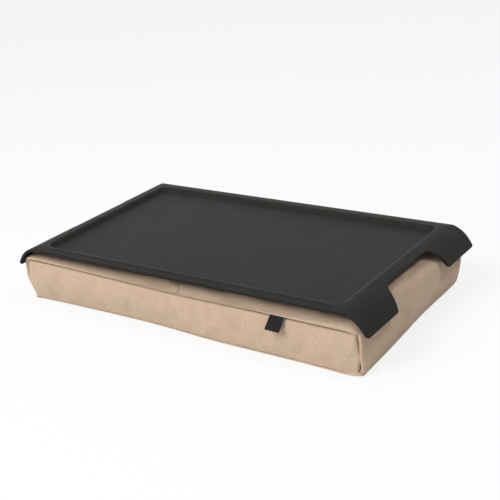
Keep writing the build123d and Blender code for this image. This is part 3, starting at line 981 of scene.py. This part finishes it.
def suede_material():
    """Brushed cloth with a soft nap, and painted shade deep in its seams."""
    s = Surface("suede")
    patches = s.remap(s.noise(26, detail=4, roughness=0.6, distortion=0.6), 0.34, 0.66)
    mottle = s.remap(s.noise(150, detail=3, roughness=0.6), 0.32, 0.68)
    warm = s.remap(s.noise(90, vector=s.place((1, 1.3, 0.8))), 0.35, 0.65)
    fibre = s.remap(s.noise(780, detail=3, roughness=0.65), 0.34, 0.66)
    share = s.sum(s.scaled(patches, 0.12), s.scaled(mottle, 0.1), s.scaled(fibre, 0.55))
    cloth = s.mix(s.scaled(warm, 0.2), s.mix(share, SUEDE_DARK, SUEDE_LIGHT), SUEDE_PINKISH)
    # Painted shade: the cloth is darkened where ambient occlusion finds it deep in a seam, but not near the
    # floor
    seam_occlusion = s.add("ShaderNodeAmbientOcclusion", {"Distance": 2.6 * MM}, samples=8).outputs["AO"]
    above_floor = s.remap(s.split(s.place())["Z"], 3 * MM, 6 * MM)
    painted_seam_shade = s.math("MULTIPLY", s.remap(seam_occlusion, 0.3, 0.75, to_low=0.4, to_high=0.0), above_floor)
    s.set(Base_Color=s.mix(painted_seam_shade, cloth, SUEDE_PAINTED_SHADE), Roughness=0.92)
    s.shader.inputs["Specular IOR Level"].default_value = 0.15
    s.shader.inputs["Sheen Weight"].default_value = 0.25
    s.shader.inputs["Sheen Roughness"].default_value = 0.5
    s.shader.inputs["Sheen Tint"].default_value = SUEDE_SHEEN
    nap = s.sum(s.noise(2600, detail=3, roughness=0.7), s.scaled(s.noise(260), 0.8))
    s.bump(nap, distance=0.3 * MM, strength=0.55)
    return s.material


def woven_material(name, colour, pitch, axes=("X", "Z")):
    """A plain weave of threads that cross in the plane of two axes."""
    s = Surface(name)
    place = s.split(s.place())
    waves = [s.math("SINE", s.scaled(place[axis], 2 * math.pi / (pitch * MM))) for axis in axes]
    threads = s.math("MULTIPLY", *waves)
    fuzz = s.noise(1800)
    share = s.remap(s.sum(s.scaled(threads, 0.5), fuzz), 0, 1)
    s.set(Base_Color=s.mix(share, darker(colour, 0.6), colour), Roughness=0.85)
    s.shader.inputs["Specular IOR Level"].default_value = 0.25
    s.bump(s.sum(threads, s.scaled(fuzz, 0.4)), distance=0.12 * MM, strength=0.7)
    return s.material


def pile_material(name, colour):
    """The hooks or loops of a fastening tape, as close tufts."""
    s = Surface(name)
    tufts = s.cells(1100)
    fuzz = s.noise(2400)
    share = s.remap(s.sum(tufts, s.scaled(fuzz, 0.5)), 0, 1)
    s.set(Base_Color=s.mix(share, darker(colour, 0.5), colour), Roughness=0.9)
    s.bump(s.sum(tufts, fuzz), distance=0.4 * MM, strength=0.9)
    return s.material


def bead_material():
    """Small pale foam beads, close together, with painted shade towards each bead's rim."""
    s = Surface("foam_beads")
    distance = s.cells(320)
    # Painted shade: each bead darkens from its middle towards its rim
    s.set(Base_Color=s.mix(distance, BEAD_FACE, BEAD_GAP_SHADE), Roughness=0.6)
    domes = s.remap(distance, 0, 0.7, to_low=1, to_high=0)
    s.bump(domes, distance=1.5 * MM, strength=1.0)
    return s.material


def nylon_material():
    """The zip's two rows."""
    s = Surface("zip_nylon")
    s.set(Base_Color=s.mix(s.noise(900), *ZIP_NYLON), Roughness=0.42)
    s.bump(s.noise(1500, detail=1), distance=0.03 * MM, strength=0.4)
    return s.material


def metal_material():
    """Lacquered metal of the slider, the pull and the stops."""
    s = Surface("zip_lacquer")
    s.set(Base_Color=s.mix(s.noise(300, detail=3), *ZIP_LACQUER), Metallic=0.35)
    s.set(Roughness=s.remap(s.noise(1200), 0.3, 0.7, to_low=0.3, to_high=0.42))
    s.bump(s.noise(500), distance=0.03 * MM, strength=0.4)
    return s.material


def paper_material():
    """Pale paper that looks nearly white and still takes the object's shadow."""
    s = Surface("paper")
    s.set(Base_Color=FLOOR_COLOUR, Roughness=0.95)
    white = s.add("ShaderNodeEmission", {"Color": WHITE, "Strength": 1.0}).outputs[0]
    share = s.scaled(s.seen_directly(), FLOOR_WHITENESS)
    mix = s.add("ShaderNodeMixShader", {0: share, 1: s.shader.outputs[0], 2: white})
    s.feed(s.tree.nodes["Material Output"].inputs["Surface"], mix.outputs[0])
    return s.material


def add_sky():
    """A sky that lights the object by its grades, and looks white."""
    world = bpy.data.worlds.new("world")
    world.use_nodes = True
    bpy.context.scene.world = world
    s = Shading(world.node_tree)
    way = s.split(s.add("ShaderNodeTexCoord").outputs["Generated"])
    levels = [s.remap(way[axis], *span) for axis, *span in (SKY_UPWARD, SKY_SIDEWAYS)]
    graded_light = s.tree.nodes["Background"]
    s.feed(graded_light.inputs["Color"], WHITE)
    s.feed(graded_light.inputs["Strength"], s.math("MULTIPLY", *levels))
    white = s.add("ShaderNodeBackground", {"Color": WHITE, "Strength": 1.0}).outputs[0]
    mix = s.add("ShaderNodeMixShader", {0: s.seen_directly(), 1: graded_light.outputs[0], 2: white})
    s.feed(s.tree.nodes["World Output"].inputs["Surface"], mix.outputs[0])


def add_lamp(name, place, size, watts):
    """A square lamp at a place, turned to the object."""
    data = bpy.data.lights.new(name, "AREA")
    data.energy = watts
    data.size = size
    lamp = bpy.data.objects.new(name, data)
    lamp.location = place
    lamp.rotation_euler = (Vector(place) - Vector(LAMP_TARGET)).to_track_quat("Z", "Y").to_euler()
    bpy.context.scene.collection.objects.link(lamp)


def add_floor():
    """A wide square of paper just below the object."""
    mesh = bpy.data.meshes.new("floor")
    ways = ((-1, -1), (1, -1), (1, 1), (-1, 1))
    corners = [(x * FLOOR_REACH, y * FLOOR_REACH, -FLOOR_DROP) for x, y in ways]
    mesh.from_pydata(corners, [], [(0, 1, 2, 3)])
    mesh.materials.append(paper_material())
    floor = bpy.data.objects.new("floor", mesh)
    bpy.context.scene.collection.objects.link(floor)


def add_camera():
    """The view of the photograph."""
    data = bpy.data.cameras.new("camera")
    data.lens = CAMERA_LENS
    data.sensor_width = CAMERA_SENSOR
    camera = bpy.data.objects.new("camera", data)
    back = CAMERA_RIGHT.cross(CAMERA_UP)
    axes = Matrix((CAMERA_RIGHT, CAMERA_UP, back)).transposed()
    camera.matrix_world = Matrix.Translation(CAMERA_PLACE) @ axes.to_4x4()
    bpy.context.scene.collection.objects.link(camera)
    bpy.context.scene.camera = camera


# Label and stitches
def label_section():
    """The folded ribbon from the seam to its fold and back: reach, height over its middle and shift."""
    straight = LABEL_REACH - LABEL_HALF_FOLD
    plies = []
    for d in np.linspace(0, straight, LABEL_PLY_POINTS):
        share = LABEL_ROOT_SHARE + (1 - LABEL_ROOT_SHARE) * math.sin(d / straight * math.pi / 2)
        plies.append((d, LABEL_HALF_FOLD * share))
    fold = []
    for angle in np.linspace(90, -90, LABEL_FOLD_POINTS)[1:-1]:
        turn = math.radians(angle)
        fold.append((straight + LABEL_HALF_FOLD * math.cos(turn), LABEL_HALF_FOLD * math.sin(turn), 0.0))
    front = [(d, height, 0.0) for d, height in plies]
    back = [(d, -height, LABEL_SKEW * (1 - d / straight)) for d, height in plies[::-1]]
    return front + fold + back


def seam_label():
    """The folded ribbon, caught in the front seam and leaning out from the panel.

    Its back ply is skewed a little to the right of the front one and shows its pale edge.
    """
    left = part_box("seam_label")[0].x / MM + LABEL_SHIFT
    out = np.array((0, -math.sin(LABEL_LEAN), -math.cos(LABEL_LEAN)))
    normal = np.array((0, -math.cos(LABEL_LEAN), math.sin(LABEL_LEAN)))
    section = label_section()
    points = np.zeros((len(LABEL_COLUMNS), len(section), 3))
    for i, share in enumerate(LABEL_COLUMNS):
        for j, (d, height, shift) in enumerate(section):
            curl = LABEL_CURL * (d / LABEL_REACH) ** 2 * math.sin((0.5 - share) * LABEL_CURL_TURN)
            place = LABEL_ROOT + out * d + normal * (height + curl)
            points[i, j] = (left + share * LABEL_WIDTH + shift, place[1], place[2])
    label = grid_mesh("ribbon_label", {"ribbon": points})
    label.data.materials.append(MATERIALS["label_ribbon"])
    label.data.materials.append(woven_material("ribbon_edge", RIBBON_EDGE, pitch=0.4))
    for polygon in label.data.polygons:
        place = np.array(polygon.center) / MM
        behind = np.dot(place - LABEL_ROOT, normal) < LABEL_BACK_PLY
        if behind and place[0] > left + LABEL_EDGE_SHARE * LABEL_WIDTH:
            polygon.material_index = 1
    thicken(label, LABEL_THICKNESS)
    dress(label, "seam_label", "label_ribbon")


def add_stitch(work, x, z):
    """One stitch: a thread that dips into the cloth at both ends."""
    rings = []
    for share in STITCH_PLACES:
        y = STITCH_PLANE - STITCH_DIP * share ** 4
        size = STITCH_RADIUS * math.sqrt(max(STITCH_END, 1 - share ** 6))
        ring = []
        for side in range(STITCH_SIDES):
            angle = 2 * math.pi * side / STITCH_SIDES
            place = (x + share * STITCH_LENGTH / 2, y + size * math.cos(angle), z + size * math.sin(angle))
            ring.append(work.verts.new([value * MM for value in place]))
        rings.append(ring)
    for a, b in zip(rings, rings[1:]):
        for side in range(STITCH_SIDES):
            after = (side + 1) % STITCH_SIDES
            work.faces.new((a[side], b[side], b[after], a[after]))
    work.faces.new(rings[0])
    work.faces.new(rings[-1][::-1])


def zip_stitching():
    """Two rows of short stitches along the zip, lying in the panel's hem."""
    work = bmesh.new()
    run = ZIP_HIGH.x - ZIP_LOW.x
    count = int(run / STITCH_PITCH)
    for z in (ZIP_LOW.z - STITCH_FROM_ZIP, ZIP_HIGH.z + STITCH_FROM_ZIP):
        for number in range(count):
            add_stitch(work, ZIP_LOW.x + (number + 0.5) * run / count, z)
    mesh = bpy.data.meshes.new("zip_stitching")
    bmesh.ops.recalc_face_normals(work, faces=work.faces)
    work.to_mesh(mesh)
    work.free()
    mesh.materials.append(MATERIALS["zip_tape"])
    piece = bpy.data.objects.new("zip_stitching", mesh)
    bpy.context.scene.collection.objects.link(piece)
    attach(piece, "cushion")


# The scene
add_camera()
add_sky()
add_lamp("key", *KEY_LAMP)
add_lamp("side", *SIDE_LAMP)
add_floor()

# Materials of the slots, and the solids that are shown as they are
MATERIALS = {
    "tray": tray_material(),
    "cover_fabric": suede_material(),
    "label_ribbon": woven_material("ribbon", RIBBON, pitch=0.45),
    "liner_fabric": woven_material("lining", LINING, pitch=0.5, axes=("X", "Y")),
    "bead_fill": bead_material(),
    "hook_tape": pile_material("hook_tape", HOOK_TAPE),
    "loop_tape": pile_material("loop_tape", LOOP_TAPE),
    "zip_tape": woven_material("zip_tape", ZIP_TAPE, pitch=0.7),
    "zip_coil": nylon_material(),
    "zip_metal": metal_material(),
}
for name, node in NODES.items():
    node.data.materials.clear()
    node.data.materials.append(MATERIALS[SLOTS[name]])

# The cushion's cover, its lining and its beads
cover, bag, bag_points = build_cover()
for node_name, piece in cover.items():
    subdivide(piece)
    thicken(piece, COVER_THICKNESS)
    keep_above_floor(piece)
    dress(piece, node_name, "cover_fabric")
beads = bag.copy()
beads.data = bag.data.copy()
beads.name = "bead_filling"
bpy.context.scene.collection.objects.link(beads)
filled_bag(bag, bag_points, LINING_INSET, "inner_liner", "liner_fabric")
filled_bag(beads, bag_points, BEADS_INSET, "bead_fill", "bead_fill")

# Small things sewn to it
seam_label()
zip_stitching()

bpy.context.scene.view_settings.view_transform = "Standard"
